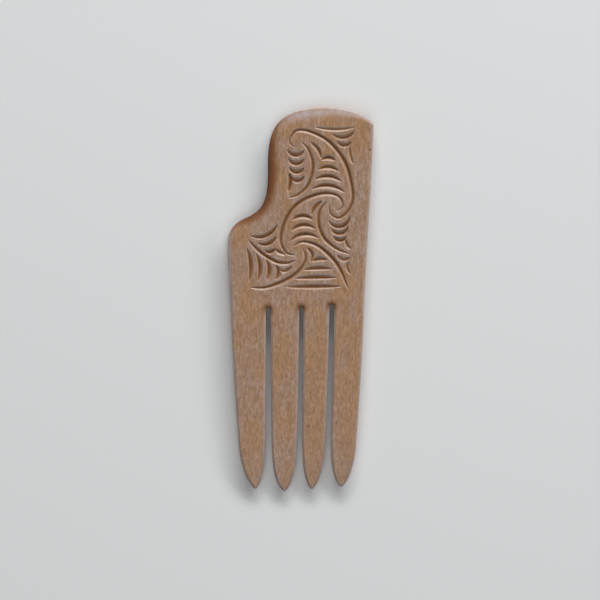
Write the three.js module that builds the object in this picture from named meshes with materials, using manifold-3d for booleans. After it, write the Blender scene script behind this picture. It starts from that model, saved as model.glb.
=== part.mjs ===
// A carved bone hair comb: a flat head with a rolled edge and a cut ornament, and four pointed teeth.
//
// The comb lies on its plain back. X runs across it, Y from the tooth tips to the crest, and Z up out of the
// carved face. The origin is under the middle of the comb's bounding box. Lengths are in millimetres.
//
// The real comb is one piece of bone. Its head and its four teeth are separate meshes here, which meet face to
// face at the tooth roots, so that each tooth is a simple solid and the gaps between the teeth stay open.

import * as THREE from "three";
import { mergeVertices } from "three/addons/utils/BufferGeometryUtils.js";
import Module from "manifold-3d";

const wasm = await Module();
wasm.setup();

// ---- Driving dimensions

const THICKNESS = 5; // the head, from its back to its carved face
const ROOT_Y = -3.5; // where the teeth leave the head, just below the ends of the gaps
const SHOULDER_Y = -44; // where a tooth starts to narrow to its point
const TOOTH_ROLL = 0.7; // radius of a tooth's long edges, and of the gaps' edges
const BACK_ROLL = 0.7; // radius of the edge all round the back
const FACE_AT_SHOULDER = 4.2; // height of a tooth's front face where its point starts
const FACE_AT_TIP = 2.5;
const BACK_AT_TIP = 0.9;
const CUT_SLOPE = 0.76; // depth of a cut over half its width

// Facets
const ROLL_STEPS = 2;
const STRETCH_STEPS = 10;
const GAP_END_STEPS = 8;
const FLANK_STEPS = 6;
const POINT_STEPS = 10;

// The head's outline, from the root of the last tooth up its right edge, over the crest, down the neck and out
// round the shoulder. Each stretch is one cubic curve to the point "to", where the face rolls over by "roll".
const RIGHT_ROOT = { to: [19.73, ROOT_Y], roll: TOOTH_ROLL };
const HEAD_STRETCHES = [
  { part: "right edge", handles: [[20.5, 16], [22.15, 35.4]], to: [22.75, 55.1], roll: 0.9 },
  { part: "crest, right", handles: [[19.4, 58.6], [13, 60.1]], to: [7.2, 60.1], roll: 2.8 },
  { part: "crest, left", handles: [[2.8, 60.1], [-1.6, 59.1]], to: [-4.6, 57.35], roll: 3 },
  { part: "top of the neck", handles: [[-8.8, 54.9], [-10.3, 50]], to: [-10.2, 42], roll: 2.9 },
  { part: "neck", handles: [[-10.2, 32.2], [-10.7, 28.5]], to: [-17, 25.7], roll: 2.6 },
  { part: "shoulder", handles: [[-21, 24], [-22.75, 21.6]], to: [-22.75, 17.5], roll: 1.6 },
  { part: "flank", handles: [[-22.75, 11], [-22.1, 3.5]], to: [-21.8, ROOT_Y], roll: TOOTH_ROLL },
];

// The gaps between the teeth: the middle of each and its upper end.
const GAPS = [
  { x: -10.1, end: -2.3, width: 1.4 },
  { x: 0.22, end: -2.2, width: 1.25 },
  { x: 9.7, end: -1.4, width: 1.4 },
];

// The teeth from left to right: left and right edge at the root and at the shoulder, the tip, and how far
// each side bellies in towards the tip before it closes (0 is a full, blunt side).
const TEETH = [
  { root: [-21.8, -10.8], shoulder: [-19.4, -11.1], tip: [-14.2, -59.3], belly: [0.38, 0.12] },
  { root: [-9.4, -0.405], shoulder: [-9.07, -1.2], tip: [-5, -60.1], belly: [0.07, 0.22] },
  { root: [0.845, 9], shoulder: [0.47, 7.6], tip: [3.5, -59.5], belly: [0.08, 0.3] },
  { root: [10.4, 19.73], shoulder: [9.4, 17.4], tip: [12.7, -58.7], belly: [0.05, 0.37] },
];

// ---- The ornament: V-shaped cuts that swell in the middle and run out to a point at each end.

// Long stems that curl and link the panel's leaves.
const STEMS = [
  {
    part: "upper stem",
    width: 1.6,
    through: [[-1.6, 47.4], [-3.5, 49.5], [-1.4, 52.7], [3, 52.4], [9, 49.1], [13.7, 42.2],
      [16.2, 33.4], [14.8, 28], [11.9, 25.9], [9.3, 27], [8.6, 30]],
  },
  {
    part: "middle stem",
    width: 1.7,
    through: [[11.3, 27.9], [13, 29.6], [11.5, 32.4], [7.4, 33.2], [2.4, 31.4], [-1.8, 28.4],
      [-4.9, 24.2], [-6.2, 18.6], [-4.5, 14.8], [-1.4, 13.9]],
  },
  {
    part: "lower stem",
    width: 1.7,
    through: [[-2.3, 16.5], [0.6, 18.2], [4.8, 16.7], [8.7, 13.4], [11.7, 9.5], [14.5, 3.5]],
  },
  {
    part: "upper leaf rib",
    width: 1.5,
    through: [[0.1, 49.3], [2.4, 47], [3.9, 41.8], [2.4, 36], [-0.8, 32.8], [-3.8, 31.8]],
  },
  {
    part: "right leaf rib",
    width: 1.5,
    through: [[8.2, 30.7], [6, 27.7], [5.6, 23.4], [7.3, 19], [11.1, 15.8], [15.4, 14.1]],
  },
  {
    part: "left leaf rib",
    width: 1.5,
    through: [[-16.3, 18.6], [-12.5, 14.8], [-7.7, 11.9], [-4.2, 11.5], [-1.4, 12.5]],
  },
  {
    part: "foot stem",
    width: 1.7,
    through: [[-15.8, 3.9], [-10.9, 3.8], [-4.5, 6.2], [-0.3, 9.2], [1.8, 13], [0.7, 16.4]],
  },
];

// Rows of crescents. Each row is spread evenly between its first and its last crescent, and a crescent is
// given by its two ends with its middle between them.
const CRESCENT_ROWS = [
  { part: "top corner", count: 3, width: 1.8,
    first: [[4.6, 53.9], [10.7, 53], [17, 53.9]], last: [[11.8, 48.9], [13.7, 47.9], [15.7, 48.5]] },
  { part: "under the upper curl", count: 4, width: 1.8,
    first: [[-4.1, 46.4], [-1.4, 45], [0.9, 46.4]], last: [[-2.9, 37.9], [-0.8, 37], [1, 38.2]] },
  { part: "upper leaf", count: 4, width: 2.1,
    first: [[6.4, 43.5], [8.5, 44.3], [10.9, 43.2]], last: [[3.4, 34.6], [7.9, 35.5], [13.6, 33.2]] },
  { part: "under the middle curl", count: 3, width: 1.9,
    first: [[8.7, 24.6], [11.8, 22.6], [15.4, 25.5]], last: [[10.3, 19.7], [12.2, 18.3], [14.2, 19.1]] },
  { part: "middle leaf", count: 3, width: 2.2,
    first: [[-2.2, 25], [0.8, 26.1], [3.8, 24.7]], last: [[-3.2, 18.5], [1, 20.4], [5.3, 19.2]] },
  { part: "left leaf, upper side", count: 3, width: 1.8,
    first: [[-15.8, 19.8], [-11, 19.8], [-7.5, 23.3]], last: [[-11.2, 15.2], [-9.7, 14.8], [-8.2, 15.7]] },
  { part: "left leaf, lower side", count: 4, width: 2,
    first: [[-16.9, 16.4], [-15.6, 11.4], [-16.2, 5.5]], last: [[-8.8, 10.9], [-7.4, 8.6], [-8.9, 6.3]] },
  { part: "foot leaf", count: 4, width: 2,
    first: [[3.4, 11.9], [6, 12.6], [8.5, 12]], last: [[-4.8, 3.5], [4.2, 3.8], [13.1, 3.7]] },
];

// Single cuts that close the corners between the rows.
const SINGLE_CUTS = [
  { part: "below the top corner", width: 1.3, through: [[15.3, 47.7], [15.5, 45], [16.4, 42.4]] },
  { part: "beside the upper curl", width: 1.4, through: [[2.8, 49.2], [5.2, 46.7], [6.2, 44]] },
  { part: "below the upper curl", width: 1.7, through: [[-3.6, 39.6], [-3.2, 37], [-3.9, 33.7]] },
  { part: "beside the middle curl", width: 1.4, through: [[6.7, 30.9], [4.4, 28.6], [3.6, 25.9]] },
  { part: "below the middle curl", width: 1.4, through: [[14.1, 18.8], [14.5, 17], [15.7, 15.8]] },
  { part: "left leaf, inner end", width: 1.4, through: [[-8.1, 15.7], [-6.8, 14.5], [-4.6, 13.8]] },
  { part: "left leaf, under the rib", width: 1.6, through: [[-7, 9.2], [-5, 8.8], [-2.6, 10.1]] },
  { part: "right leaf, under the rib", width: 1.6, through: [[11.4, 13.7], [13.3, 12.3], [15.5, 12.9]] },
  { part: "right leaf, foot", width: 1.2, through: [[15.1, 12], [14.5, 10], [15.5, 7.9]] },
  { part: "beside the lower curl", width: 1.4, through: [[2.1, 16.4], [3.6, 14.1], [3.1, 11.6]] },
];

// ---- Helpers

// A closed triangle mesh as a solid that can be cut.
function solidOf(geometry) {
  const bare = geometry.clone();
  bare.deleteAttribute("normal");
  bare.deleteAttribute("uv");
  const merged = mergeVertices(bare, 1e-4);
  return new wasm.Manifold(
    new wasm.Mesh({
      numProp: 3,
      vertProperties: new Float32Array(merged.attributes.position.array),
      triVerts: new Uint32Array(merged.index.array),
    }),
  );
}

// A solid as a geometry that a THREE.Mesh can hold.
function geometryOf(solid) {
  const { vertProperties, triVerts } = solid.getMesh();
  const geometry = new THREE.BufferGeometry();
  geometry.setAttribute("position", new THREE.BufferAttribute(new Float32Array(vertProperties), 3));
  geometry.setIndex(new THREE.BufferAttribute(new Uint32Array(triVerts), 1));
  geometry.computeVertexNormals();
  return geometry;
}

// A closed geometry from rings of points that are joined one to the next, with the caps' own triangles.
// Rings run counterclockwise seen from the last one.
function ringsGeometry(rings, firstCap, lastCap) {
  const size = rings[0].length;
  const triangles = [];
  for (let ring = 0; ring + 1 < rings.length; ring++) {
    for (let i = 0; i < size; i++) {
      const next = (i + 1) % size;
      const [a, b] = [ring * size + i, ring * size + next];
      triangles.push(a, b, b + size, a, b + size, a + size);
    }
  }
  const lastRing = (rings.length - 1) * size;
  for (const [a, b, c] of firstCap) triangles.push(c, b, a);
  for (const [a, b, c] of lastCap) triangles.push(lastRing + a, lastRing + b, lastRing + c);
  const geometry = new THREE.BufferGeometry();
  geometry.setAttribute("position", new THREE.Float32BufferAttribute(rings.flat(2), 3));
  geometry.setIndex(triangles);
  return geometry;
}

// Steps from 0 to 1 over a quarter round: how far in from the edge, and how far up towards the face.
function quarterRound() {
  return Array.from({ length: ROLL_STEPS + 1 }, (_, k) => {
    const angle = (Math.PI / 2) * (k / ROLL_STEPS);
    return { inward: 1 - Math.cos(angle), up: Math.sin(angle) };
  });
}

// A wide roll is flatter than it is wide.
const rollHeight = (width) => Math.min(width, 0.8 + 0.4 * width);

// ---- The head

// The head's outline, as {x, y, roll} points counterclockwise seen from the front. It runs on past the root
// line, so that the cut there leaves flat faces for the teeth.
function headOutline() {
  const overrun = 2;
  const points = [];
  const add = (x, y, roll) => points.push({ x, y, roll });
  add(RIGHT_ROOT.to[0], ROOT_Y - overrun, TOOTH_ROLL);
  let from = RIGHT_ROOT;
  for (const stretch of HEAD_STRETCHES) {
    const [a, b, c, d] = [from.to, ...stretch.handles, stretch.to].map((p) => new THREE.Vector2(...p));
    const curve = new THREE.CubicBezierCurve(a, b, c, d);
    for (let k = 0; k < STRETCH_STEPS; k++) {
      const share = k / STRETCH_STEPS;
      const at = curve.getPoint(share);
      add(at.x, at.y, THREE.MathUtils.lerp(from.roll, stretch.roll, share));
    }
    from = stretch;
  }
  add(...from.to, from.roll);
  add(from.to[0], ROOT_Y - overrun, TOOTH_ROLL);
  for (const gap of GAPS) {
    const radius = gap.width / 2;
    add(gap.x - radius, ROOT_Y - overrun, TOOTH_ROLL);
    for (let k = 0; k <= GAP_END_STEPS; k++) {
      const angle = Math.PI * (1 - k / GAP_END_STEPS);
      add(gap.x + radius * Math.cos(angle), gap.end - radius + radius * Math.sin(angle), TOOTH_ROLL);
    }
    add(gap.x + radius, ROOT_Y - overrun, TOOTH_ROLL);
  }
  return points;
}

// For each point, the step that moves it inwards so that both its neighbouring sides move in by 1.
function inwardSteps(points) {
  return points.map((point, i) => {
    const before = points[(i + points.length - 1) % points.length];
    const after = points[(i + 1) % points.length];
    const sideIn = (a, b) => new THREE.Vector2(a.y - b.y, b.x - a.x).normalize();
    const [first, second] = [sideIn(before, point), sideIn(point, after)];
    const middle = first.clone().add(second).normalize();
    return middle.divideScalar(middle.dot(first));
  });
}

function headBlank() {
  const points = headOutline();
  const steps = inwardSteps(points);
  const ringAt = (inset, height) =>
    points.map((p, i) => [p.x + steps[i].x * inset(p), p.y + steps[i].y * inset(p), height(p)]);
  const back = quarterRound().reverse().map((round) =>
    ringAt(() => BACK_ROLL * round.inward, () => BACK_ROLL * (1 - round.up)));
  const front = quarterRound().map((round) =>
    ringAt((p) => p.roll * round.inward, (p) => THICKNESS - rollHeight(p.roll) * (1 - round.up)));
  const rings = [...back, ...front];
  const capOf = (ring) => THREE.ShapeUtils.triangulateShape(ring.map(([x, y]) => new THREE.Vector2(x, y)), []);
  return solidOf(ringsGeometry(rings, capOf(rings[0]), capOf(rings.at(-1))));
}

// One V-shaped cut along a smooth line through the given points.
function cutter({ through, width }) {
  const above = 0.12; // how far the cutter stands over the face
  const facet = 1.1; // length of one facet along the cut
  const least = 0.1; // half width at the very ends
  const line = new THREE.CatmullRomCurve3(
    through.map(([x, y]) => new THREE.Vector3(x, y, 0)), false, "centripetal");
  const count = Math.max(8, Math.round(line.getLength() / facet));
  const flare = above / CUT_SLOPE;
  const rings = [];
  for (let k = 0; k <= count; k++) {
    const share = k / count;
    const at = line.getPointAt(share);
    const along = line.getTangentAt(share);
    const half = Math.max(least, (width / 2) * Math.sin(Math.PI * share) ** 0.6);
    const top = THICKNESS + above;
    const side = (sign) => [at.x - along.y * sign * (half + flare), at.y + along.x * sign * (half + flare), top];
    rings.push([side(1), side(-1), [at.x, at.y, THICKNESS - half * CUT_SLOPE]]);
  }
  return solidOf(ringsGeometry(rings, [[0, 1, 2]], [[0, 1, 2]]));
}

// All crescents of a row, from its first to its last.
function crescentsOf({ first, last, count, width }) {
  return Array.from({ length: count }, (_, k) => {
    const share = k / (count - 1);
    const through = first.map((point, i) =>
      point.map((value, axis) => THREE.MathUtils.lerp(value, last[i][axis], share)));
    return { through, width };
  });
}

function carvedHead() {
  const reach = 200;
  const keep = new THREE.BoxGeometry(reach, reach, reach).translate(0, ROOT_Y + reach / 2, 0);
  const cuts = [...STEMS, ...CRESCENT_ROWS.flatMap(crescentsOf), ...SINGLE_CUTS];
  const plain = headBlank().intersect(solidOf(keep));
  return geometryOf(cuts.reduce((head, cut) => head.subtract(cutter(cut)), plain));
}

// ---- The teeth

// One side of a tooth from its root to its tip, as a function of a share from 0 to 1 on each of its two
// stretches: the long flank, and the point. Both sides are at the same height for the same share.
function toothSide(root, shoulder, tip, belly) {
  const vector = (x, y) => new THREE.Vector2(x, y);
  const fall = SHOULDER_Y - ROOT_Y;
  const drop = tip[1] - SHOULDER_Y;
  const narrowing = shoulder - root;
  const closing = tip[0] - shoulder;
  const flank = new THREE.CubicBezierCurve(
    vector(root, ROOT_Y),
    vector(root + 0.2 * narrowing, ROOT_Y + fall / 3),
    vector(root + 0.55 * narrowing, ROOT_Y + (2 * fall) / 3),
    vector(shoulder, SHOULDER_Y),
  );
  const point = new THREE.CubicBezierCurve(
    vector(shoulder, SHOULDER_Y),
    vector(shoulder + 0.05 * closing, SHOULDER_Y + 0.38 * drop),
    vector(shoulder + belly * closing, SHOULDER_Y + 0.83 * drop),
    vector(...tip),
  );
  return { flank, point };
}

// The front and the back of a tooth at a height, and its section there as a rounded rectangle.
function toothSection(left, right, y, tipY) {
  const { lerp, smoothstep } = THREE.MathUtils;
  const toShoulder = (ROOT_Y - y) / (ROOT_Y - SHOULDER_Y);
  const toTip = Math.max(0, (SHOULDER_Y - y) / (SHOULDER_Y - tipY));
  const face = y > SHOULDER_Y
    ? lerp(THICKNESS, FACE_AT_SHOULDER, toShoulder)
    : lerp(FACE_AT_SHOULDER, FACE_AT_TIP, toTip);
  const back = BACK_AT_TIP * smoothstep(toTip, 0, 1);
  const roll = Math.min(TOOTH_ROLL, 0.35 * (right - left), 0.4 * (face - back));
  const corners = [
    { x: left, z: back, inX: 1, inZ: 1, turned: true },
    { x: right, z: back, inX: -1, inZ: 1, turned: false },
    { x: right, z: face, inX: -1, inZ: -1, turned: true },
    { x: left, z: face, inX: 1, inZ: -1, turned: false },
  ];
  return corners.flatMap(({ x, z, inX, inZ, turned }) =>
    quarterRound().map(({ inward, up }) => [
      x + inX * roll * (turned ? inward : 1 - up),
      y,
      z + inZ * roll * (turned ? 1 - up : inward),
    ]));
}

function tooth({ root, shoulder, tip, belly }) {
  const left = toothSide(root[0], shoulder[0], tip, belly[0]);
  const right = toothSide(root[1], shoulder[1], tip, belly[1]);
  const rings = [];
  const addRing = (stretch, share) => {
    const [a, b] = [left[stretch].getPoint(share), right[stretch].getPoint(share)];
    rings.push(toothSection(a.x, b.x, a.y, tip[1]));
  };
  for (let k = 0; k < FLANK_STEPS; k++) addRing("flank", k / FLANK_STEPS);
  for (let k = 0; k < POINT_STEPS; k++) addRing("point", k / POINT_STEPS);
  const size = rings[0].length;
  rings.push(Array.from({ length: size }, () => [...tip, (FACE_AT_TIP + BACK_AT_TIP) / 2]));
  const fan = Array.from({ length: size - 2 }, (_, k) => [0, k + 1, k + 2]);
  return geometryOf(solidOf(ringsGeometry(rings, fan, [])));
}

// ---- The comb

const polishedBone = () => new THREE.MeshStandardMaterial({ color: 0xbc9c80, roughness: 0.5, metalness: 0 });
const comb = new THREE.Group();

const head = new THREE.Mesh(carvedHead(), polishedBone());
head.name = "carved_head";
comb.add(head);

TEETH.forEach((shape, i) => {
  const middle = (shape.root[0] + shape.root[1]) / 2;
  const mesh = new THREE.Mesh(tooth(shape).translate(-middle, -ROOT_Y, 0), polishedBone());
  mesh.name = `tooth_${i + 1}`;
  mesh.position.set(middle, ROOT_Y, 0);
  comb.add(mesh);
});

export default comb;
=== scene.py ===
import math

import bmesh
import bpy
import numpy as np
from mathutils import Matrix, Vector, kdtree, noise
from mathutils.geometry import delaunay_2d_cdt


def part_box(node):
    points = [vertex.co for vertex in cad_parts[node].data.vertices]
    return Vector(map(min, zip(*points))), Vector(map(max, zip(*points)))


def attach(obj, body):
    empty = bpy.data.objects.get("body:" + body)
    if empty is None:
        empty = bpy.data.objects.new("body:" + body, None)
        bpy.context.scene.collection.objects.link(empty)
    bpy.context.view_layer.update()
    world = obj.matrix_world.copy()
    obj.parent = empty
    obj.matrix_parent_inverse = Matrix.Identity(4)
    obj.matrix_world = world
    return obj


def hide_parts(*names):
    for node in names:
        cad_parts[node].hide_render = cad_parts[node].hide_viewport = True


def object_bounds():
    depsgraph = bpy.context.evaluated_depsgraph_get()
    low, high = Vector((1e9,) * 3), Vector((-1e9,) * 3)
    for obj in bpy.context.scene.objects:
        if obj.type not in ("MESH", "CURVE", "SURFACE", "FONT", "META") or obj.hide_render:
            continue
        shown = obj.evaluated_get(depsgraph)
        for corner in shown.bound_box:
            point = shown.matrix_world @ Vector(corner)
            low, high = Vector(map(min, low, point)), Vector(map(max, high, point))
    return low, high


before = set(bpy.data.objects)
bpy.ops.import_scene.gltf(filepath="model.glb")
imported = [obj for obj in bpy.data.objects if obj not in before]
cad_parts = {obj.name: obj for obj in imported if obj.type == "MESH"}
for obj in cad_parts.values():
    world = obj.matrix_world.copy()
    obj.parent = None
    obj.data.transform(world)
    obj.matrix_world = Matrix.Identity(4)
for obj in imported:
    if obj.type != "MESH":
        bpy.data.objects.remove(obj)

cad_box = [list(corner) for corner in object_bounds()]

MM = 0.001  # one millimetre in scene units


# ======================================================================================================
# Camera
# A long lens hangs over the comb and looks straight down on the carved face, with the crest at the top of
# the view.
# ======================================================================================================

CAMERA_HEIGHT = 1.0452  # far off, so that the comb's sides hardly show

camera_data = bpy.data.cameras.new("camera")
camera_data.lens = 200
camera_data.sensor_width = 36
camera = bpy.data.objects.new("camera", camera_data)
camera.location = (-0.0002, 0, CAMERA_HEIGHT)
bpy.context.collection.objects.link(camera)
bpy.context.scene.camera = camera


# ======================================================================================================
# Table and studio light
# A plain pale table top. Three long soft panels stand low round the upper right, the strongest above the
# crest, so that they graze the cuts, and a broad weak one hangs overhead.
# ======================================================================================================

TABLE_SIZE = 3.0
TABLE_DROP = 0.0002  # below the comb's back, so that the two faces don't fight

table_mesh = bpy.data.meshes.new("table")
half_table = TABLE_SIZE / 2
table_mesh.from_pydata(
    [(-half_table, -half_table, 0), (half_table, -half_table, 0),
     (half_table, half_table, 0), (-half_table, half_table, 0)],
    [], [(0, 1, 2, 3)])
table = bpy.data.objects.new("table", table_mesh)
table.location.z = cad_box[0][2] - TABLE_DROP
bpy.context.collection.objects.link(table)

table_paint = bpy.data.materials.new("pale_table")
table_paint.use_nodes = True
table_shader = table_paint.node_tree.nodes["Principled BSDF"]
table_shader.inputs["Base Color"].default_value = (0.80, 0.79, 0.77, 1)
table_shader.inputs["Roughness"].default_value = 0.8
table_shader.inputs["Specular IOR Level"].default_value = 0.0
table_mesh.materials.append(table_paint)

PANEL_RISE = 0.7  # of the low panels above the table
PANEL_COLOUR = (0.93, 0.965, 1.0)


def add_soft_light(name, place, width, height, power):
    """A light panel at a place in metres, turned to face the comb."""
    panel = bpy.data.lights.new(name, "AREA")
    panel.shape = "RECTANGLE"
    panel.size = width
    panel.size_y = height
    panel.energy = power
    panel.color = PANEL_COLOUR
    light = bpy.data.objects.new(name, panel)
    light.location = place
    light.rotation_euler = Vector(place).to_track_quat("Z", "Y").to_euler()
    bpy.context.collection.objects.link(light)


for name, x, y, power in (("above the crest", 0.0, 1.55, 20.5), ("upper right", 0.78, 1.34, 15.0),
                          ("to the right", 1.46, 0.53, 5.0)):
    add_soft_light(name, (x, y, PANEL_RISE), width=0.9, height=0.36, power=power)
add_soft_light("overhead", (-0.1, -0.6, 1.10), width=1.0, height=1.0, power=5.3)

world = bpy.data.worlds.new("studio")
world.use_nodes = True
world.node_tree.nodes["Background"].inputs["Color"].default_value = (1, 1, 1, 1)
world.node_tree.nodes["Background"].inputs["Strength"].default_value = 0.06
bpy.context.scene.world = world
bpy.context.scene.view_settings.view_transform = "Standard"


# ======================================================================================================
# The comb's outline
# The comb is sawn from one flat plate of bone: a tall head with a round crest, a neck cut away on the left,
# and four flat pointed teeth with three narrow gaps sawn between them. Lengths here are in millimetres.
# ======================================================================================================

FACE_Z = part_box("carved_head")[1][2] / MM
BACK_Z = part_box("carved_head")[0][2] / MM
ROOT_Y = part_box("carved_head")[0][1] / MM
SHOULDER_Y = -44.0  # where a tooth starts to narrow to its point
TOOTH_ROLL = 0.65  # width of the rounding along a tooth's edges
PLAIN_STAIN = 0.1  # along the teeth
GAP_STAIN = 0.42  # more of it at the round end of a gap
GAP_STAIN_REACH = 2.2
FLANK_HANDLES = (0.2, 0.55)  # of a flank's curve, sideways, as shares of its narrowing
POINT_HANDLES = (0.38, 0.83)  # of a point's curve, downwards, as shares of its length
POINT_LEAD = 0.05  # sideways, at the first of them
SPACING = 0.42  # between the outline's points
POINT_SPACING = 0.24  # between them towards a tooth's tip
GAP_END_SPACING = 0.16  # and round the end of a gap
CORNER_STROKES = 30  # of the file over a sharp corner
SMOOTH_TURN = 0.25  # radians between two steps that don't count as a corner

# Each stretch is a cubic curve: its two handles, its end, and there the width of the rounding on the front
# and the strength of the brown stain, from 0 to 1.
HEAD_STRETCHES = [
    dict(part="right edge", handles=[(20.5, 16), (22.15, 35.4)], to=(22.75, 55.1), roll=0.65, stain=0.1),
    dict(part="crest, right", handles=[(19.4, 58.6), (13, 60.1)], to=(7.2, 60.1), roll=4.6, stain=0.0),
    dict(part="crest, left", handles=[(2.8, 60.1), (-1.6, 59.1)], to=(-4.6, 57.35), roll=4.2, stain=0.25),
    dict(part="top of the neck", handles=[(-8.8, 54.9), (-10.3, 50)], to=(-10.2, 42), roll=3.4, stain=1.0),
    dict(part="neck", handles=[(-10.2, 32.2), (-10.7, 28.5)], to=(-17, 25.7), roll=2.4, stain=0.7),
    dict(part="shoulder", handles=[(-21, 24), (-22.75, 21.6)], to=(-22.75, 17.5), roll=1.8, stain=0.0),
    dict(part="flank", handles=[(-22.75, 11), (-22.1, 3.5)], to=(-21.8, ROOT_Y), roll=0.8, stain=0.1),
]

# Each gap's middle, the height of its round end, and its width there.
GAPS = [
    dict(x=-10.1, end=-2.3, width=1.4),
    dict(x=0.22, end=-2.2, width=1.25),
    dict(x=9.7, end=-1.4, width=1.4),
]

# Each tooth's edges at the shoulder, its tip, and how far each side closes in before the tip.
TEETH = [
    dict(shoulder=(-19.4, -11.1), tip_x=-14.2, belly=(0.38, 0.12)),
    dict(shoulder=(-9.07, -1.2), tip_x=-5.0, belly=(0.07, 0.22)),
    dict(shoulder=(0.47, 7.6), tip_x=3.5, belly=(0.08, 0.3)),
    dict(shoulder=(9.4, 17.4), tip_x=12.7, belly=(0.05, 0.37)),
]


def cubic(start, handle_1, handle_2, end, spacing=SPACING):
    """Points along a cubic curve, evenly spread, without its last one."""
    start, handle_1, handle_2, end = (np.array(p, float) for p in (start, handle_1, handle_2, end))
    fine = np.linspace(0, 1, 400)[:, None]
    curve = ((1 - fine) ** 3 * start + 3 * fine * (1 - fine) ** 2 * handle_1
             + 3 * fine ** 2 * (1 - fine) * handle_2 + fine ** 3 * end)
    length = np.concatenate([[0], np.cumsum(np.hypot(*np.diff(curve, axis=0).T))])
    count = max(2, round(length[-1] / spacing))
    at = np.linspace(0, length[-1], count + 1)[:-1]
    return np.column_stack([np.interp(at, length, curve[:, axis]) for axis in (0, 1)])


def with_edge(points, roll, stain):
    """Adds to each point the rounding's width and the stain, running evenly from start to end."""
    share = np.linspace(0, 1, len(points) + 1)[:-1]
    return np.column_stack([points, np.interp(share, (0, 1), roll), np.interp(share, (0, 1), stain)])


def tooth_bottom(number):
    """Height of a tooth's tip."""
    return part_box(f"tooth_{number + 1}")[0][1] / MM


def tooth_side(root_x, shoulder_x, tip, belly):
    """One side of a tooth from its root to its tip."""
    fall = SHOULDER_Y - ROOT_Y
    drop = tip[1] - SHOULDER_Y
    narrowing = shoulder_x - root_x
    closing = tip[0] - shoulder_x
    flank = cubic((root_x, ROOT_Y),
                  (root_x + FLANK_HANDLES[0] * narrowing, ROOT_Y + fall / 3),
                  (root_x + FLANK_HANDLES[1] * narrowing, ROOT_Y + 2 * fall / 3),
                  (shoulder_x, SHOULDER_Y))
    point = cubic((shoulder_x, SHOULDER_Y),
                  (shoulder_x + POINT_LEAD * closing, SHOULDER_Y + POINT_HANDLES[0] * drop),
                  (shoulder_x + belly * closing, SHOULDER_Y + POINT_HANDLES[1] * drop),
                  tip, POINT_SPACING)
    return np.vstack([flank, point, [tip]])


def gap_end(gap):
    """The round upper end of a gap, from its left side to its right side."""
    radius = gap["width"] / 2
    angle = np.linspace(math.pi, 0, round(math.pi * radius / GAP_END_SPACING) + 1)
    centre = (gap["x"], gap["end"] - radius)
    return np.column_stack([centre[0] + radius * np.cos(angle), centre[1] + radius * np.sin(angle)])


def comb_outline():
    """The whole outline, counterclockwise seen from the front: x, y, rounding and stain of each point."""
    walk = []
    right_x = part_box("tooth_4")[1][0] / MM
    last = dict(HEAD_STRETCHES[-1], to=(right_x, ROOT_Y))  # the right edge starts as the flank ends
    for stretch in HEAD_STRETCHES:
        points = cubic(last["to"], *stretch["handles"], stretch["to"])
        walk.append(with_edge(points, (last["roll"], stretch["roll"]), (last["stain"], stretch["stain"])))
        last = stretch
    gap_sides = [gap["x"] + side * gap["width"] / 2 for gap in GAPS for side in (-1, 1)]
    root_sides = [last["to"][0], *gap_sides, right_x]
    for number, tooth in enumerate(TEETH):
        tip = (tooth["tip_x"], tooth_bottom(number))
        left = tooth_side(root_sides[2 * number], tooth["shoulder"][0], tip, tooth["belly"][0])
        right = tooth_side(root_sides[2 * number + 1], tooth["shoulder"][1], tip, tooth["belly"][1])
        around = np.vstack([left, right[-2::-1]])
        walk.append(with_edge(around, (TOOTH_ROLL, TOOTH_ROLL), (PLAIN_STAIN, PLAIN_STAIN)))
        if number < len(GAPS):
            end = gap_end(GAPS[number])
            walk.append(with_edge(end, (TOOTH_ROLL, TOOTH_ROLL), (PLAIN_STAIN, PLAIN_STAIN)))
    outline = np.vstack(walk)[:-1]  # the last point is the first one again
    for gap in GAPS:
        from_end = np.hypot(outline[:, 0] - gap["x"], outline[:, 1] - gap["end"])
        outline[:, 3] += GAP_STAIN * np.exp(-(from_end / GAP_STAIN_REACH) ** 2)
    return outline


def ease_corners(points):
    """Files the sharp corners of a closed outline round, and leaves its smooth stretches as they are."""
    for _ in range(CORNER_STROKES):
        before = np.roll(points[:, :2], 1, axis=0)
        after = np.roll(points[:, :2], -1, axis=0)
        step_in = points[:, :2] - before
        step_out = after - points[:, :2]
        cross = step_in[:, 0] * step_out[:, 1] - step_in[:, 1] * step_out[:, 0]
        turn = np.abs(np.arctan2(cross, (step_in * step_out).sum(axis=1)))
        share = np.clip((turn - SMOOTH_TURN) * 3, 0, 1)[:, None]
        points[:, :2] += 0.5 * share * ((before + after) / 2 - points[:, :2])
    return points


outline = ease_corners(comb_outline())


# ======================================================================================================
# The blank
# The sawn plate is filed and rubbed until every edge is rounded: narrow along the teeth and the right edge,
# broad over the crest and down the neck. The teeth thin towards their points.
# ======================================================================================================

BACK_ROLL = 0.7  # width and height of the rounding round the back
EDGE_CORNER = 0.45  # radius of the front edge's outermost corner
SLOPE_FALL = 0.2  # fall of the front's rounding towards that corner, as a share of the rounding's width
WORN_AND_SHEEN_REACH = 0.4  # how far the pale rubbed colour, partly a painted sheen, runs down the edge from that corner
FACE_AT_SHOULDER = 4.2  # heights of the front face
FACE_AT_TIP = 2.5
BACK_AT_TIP = 0.9  # height of the back
POINT_LENGTH = 15.3  # of a tooth's narrowing end
TIP_ROLL = 0.34  # width of the rounding at a tip
TIP_ROLL_GROWTH = 0.3  # for each millimetre away from the tip
HAND_WAVE = 0.07  # how far the rubbed faces wander from flat


def face_z(y):
    """Height of the front face, which falls along the teeth."""
    along = np.clip((ROOT_Y - y) / (ROOT_Y - SHOULDER_Y), 0, 1)
    to_tip = np.clip((SHOULDER_Y - y) / POINT_LENGTH, 0, 1)
    thinned = (FACE_Z - FACE_AT_SHOULDER) * along ** 1.8
    pointed = (FACE_AT_SHOULDER - FACE_AT_TIP) * to_tip ** 1.4
    return FACE_Z - thinned - pointed


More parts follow.
